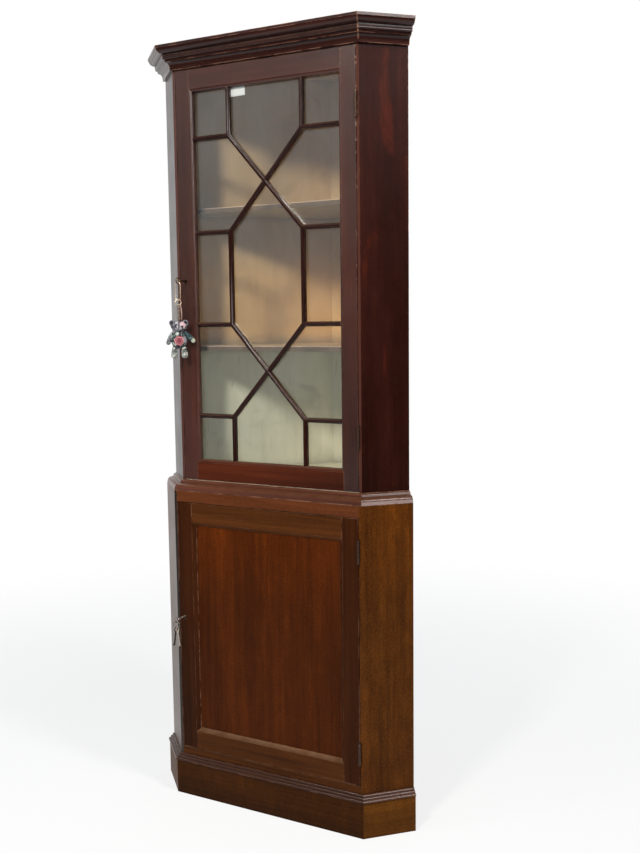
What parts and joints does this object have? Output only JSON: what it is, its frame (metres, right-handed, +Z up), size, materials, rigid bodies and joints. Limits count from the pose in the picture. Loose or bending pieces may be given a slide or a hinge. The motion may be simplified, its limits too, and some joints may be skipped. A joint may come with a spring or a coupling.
{
  "type": "corner cupboard",
  "caption": "Standing corner cupboard with canted sides: a glazed door with patterned glazing bars above a panelled door, moulded cornice, waist and plinth, and keys in the locks.",
  "frame": {"origin": "on the floor, under the middle of the front board's foot", "axes": "+X to the right as seen from the front, +Y back towards the room's corner, +Z up; the front looks along -Y"},
  "size_m": [0.8192, 0.5472, 2.1],
  "materials": {
    "upper_mahogany": "dark red-brown polished mahogany",
    "lower_mahogany": "warm brown polished mahogany",
    "interior_wood": "matt painted boards",
    "pane_glass": "clear old glass",
    "lock_brass": "tarnished brass",
    "key_steel": "worn steel",
    "gilt_metal": "bright gilt",
    "patchwork": "floral patchwork cotton"
  },
  "bodies": {
    "case": {"plinth": "lower_mahogany", "base_moulding": "lower_mahogany", "lower_return_left": "lower_mahogany", "lower_return_right": "lower_mahogany", "lower_back_left": "interior_wood", "lower_back_right": "interior_wood", "lower_bottom_board": "interior_wood", "lower_shelf": "interior_wood", "lower_top_board": "interior_wood", "bottom_rail": "lower_mahogany", "frieze_rail": "lower_mahogany", "waist_moulding": "upper_mahogany", "lower_hinge_low_case_leaf": "lock_brass", "lower_hinge_high_case_leaf": "lock_brass", "upper_bottom_board": "interior_wood", "upper_return_left": "upper_mahogany", "upper_return_right": "upper_mahogany", "upper_back_left": "interior_wood", "upper_back_right": "interior_wood", "upper_top_rail": "upper_mahogany", "upper_top_board": "interior_wood", "upper_shelf_low": "interior_wood", "upper_shelf_high": "interior_wood", "cornice_left": "upper_mahogany", "cornice_front": "upper_mahogany", "cornice_right": "upper_mahogany", "upper_hinge_low_case_leaf": "lock_brass", "upper_hinge_high_case_leaf": "lock_brass"},
    "upper_door": {"upper_door_left_stile": "upper_mahogany", "upper_door_right_stile": "upper_mahogany", "upper_door_top_rail": "upper_mahogany", "upper_door_bottom_rail": "upper_mahogany", "upper_door_glazing_bars": "upper_mahogany", "upper_door_glass": "pane_glass", "upper_lock": "lock_brass", "upper_hinge_low_door_leaf": "lock_brass", "upper_hinge_high_door_leaf": "lock_brass"},
    "lower_door": {"lower_door_left_stile": "lower_mahogany", "lower_door_right_stile": "lower_mahogany", "lower_door_top_rail": "lower_mahogany", "lower_door_bottom_rail": "lower_mahogany", "lower_door_panel": "lower_mahogany", "lower_lock": "lock_brass", "lower_hinge_low_door_leaf": "lock_brass", "lower_hinge_high_door_leaf": "lock_brass"},
    "upper_bolt": {"upper_lock_bolt": "lock_brass"},
    "lower_bolt": {"lower_lock_bolt": "lock_brass"},
    "upper_key": {"upper_key": "lock_brass"},
    "wire_loop": {"key_loop": "gilt_metal"},
    "fob": {"fob_chain": "gilt_metal", "bear_body": "patchwork", "bear_head": "patchwork", "bear_left_arm": "patchwork", "bear_right_arm": "patchwork", "bear_left_leg": "patchwork", "bear_right_leg": "patchwork"},
    "lower_key": {"lower_key": "key_steel"},
    "spare_ring": {"spare_key_ring": "key_steel"},
    "spare_keys": {"spare_key_left": "key_steel", "spare_key_right": "key_steel"}
  },
  "joints": [
    {"name": "upper_door_hinge", "type": "hinge", "parent": "case", "child": "upper_door", "pos_m": [0.27406, 0.0127, 1.4769], "axis": [0, 0, 1], "range_deg": [0, 135]},
    {"name": "lower_door_hinge", "type": "hinge", "parent": "case", "child": "lower_door", "pos_m": [0.28545, -0.0148, 0.49625], "axis": [0, 0, 1], "range_deg": [0, 135]},
    {"name": "upper_key_turn", "type": "hinge", "parent": "upper_door", "child": "upper_key", "pos_m": [-0.25581, 0.0165, 1.4729], "axis": [0, 1, 0], "range_deg": [0, 90]},
    {"name": "upper_bolt_slide", "type": "slide", "parent": "upper_door", "child": "upper_bolt", "axis": [-1, 0, 0], "range_m": [0, 0.008]},
    {"name": "loop_swing", "type": "hinge", "parent": "upper_key", "child": "wire_loop", "pos_m": [-0.25581, -0.0215, 1.4659], "axis": [0, 1, 0], "range_deg": [-90, 90]},
    {"name": "fob_swing", "type": "hinge", "parent": "wire_loop", "child": "fob", "pos_m": [-0.25581, -0.0215, 1.4197], "axis": [-1, 0, 0], "range_deg": [-3, 60]},
    {"name": "lower_key_turn", "type": "hinge", "parent": "lower_door", "child": "lower_key", "pos_m": [-0.2672, -0.011, 0.5257], "axis": [0, 1, 0], "range_deg": [0, 90]},
    {"name": "lower_bolt_slide", "type": "slide", "parent": "lower_door", "child": "lower_bolt", "axis": [-1, 0, 0], "range_m": [0, 0.008]},
    {"name": "spare_ring_swing", "type": "hinge", "parent": "lower_key", "child": "spare_ring", "pos_m": [-0.2672, -0.054, 0.5187], "axis": [0, 1, 0], "range_deg": [-90, 90]},
    {"name": "spare_keys_swing", "type": "hinge", "parent": "spare_ring", "child": "spare_keys", "pos_m": [-0.2672, -0.054, 0.5015], "axis": [-1, 0, 0], "range_deg": [-15, 60]}
  ],
  "couplings": [
    {"joint": "upper_bolt_slide", "follows": "upper_key_turn", "m_per_rad": 0.00509},
    {"joint": "lower_bolt_slide", "follows": "lower_key_turn", "m_per_rad": 0.00509}
  ]
}
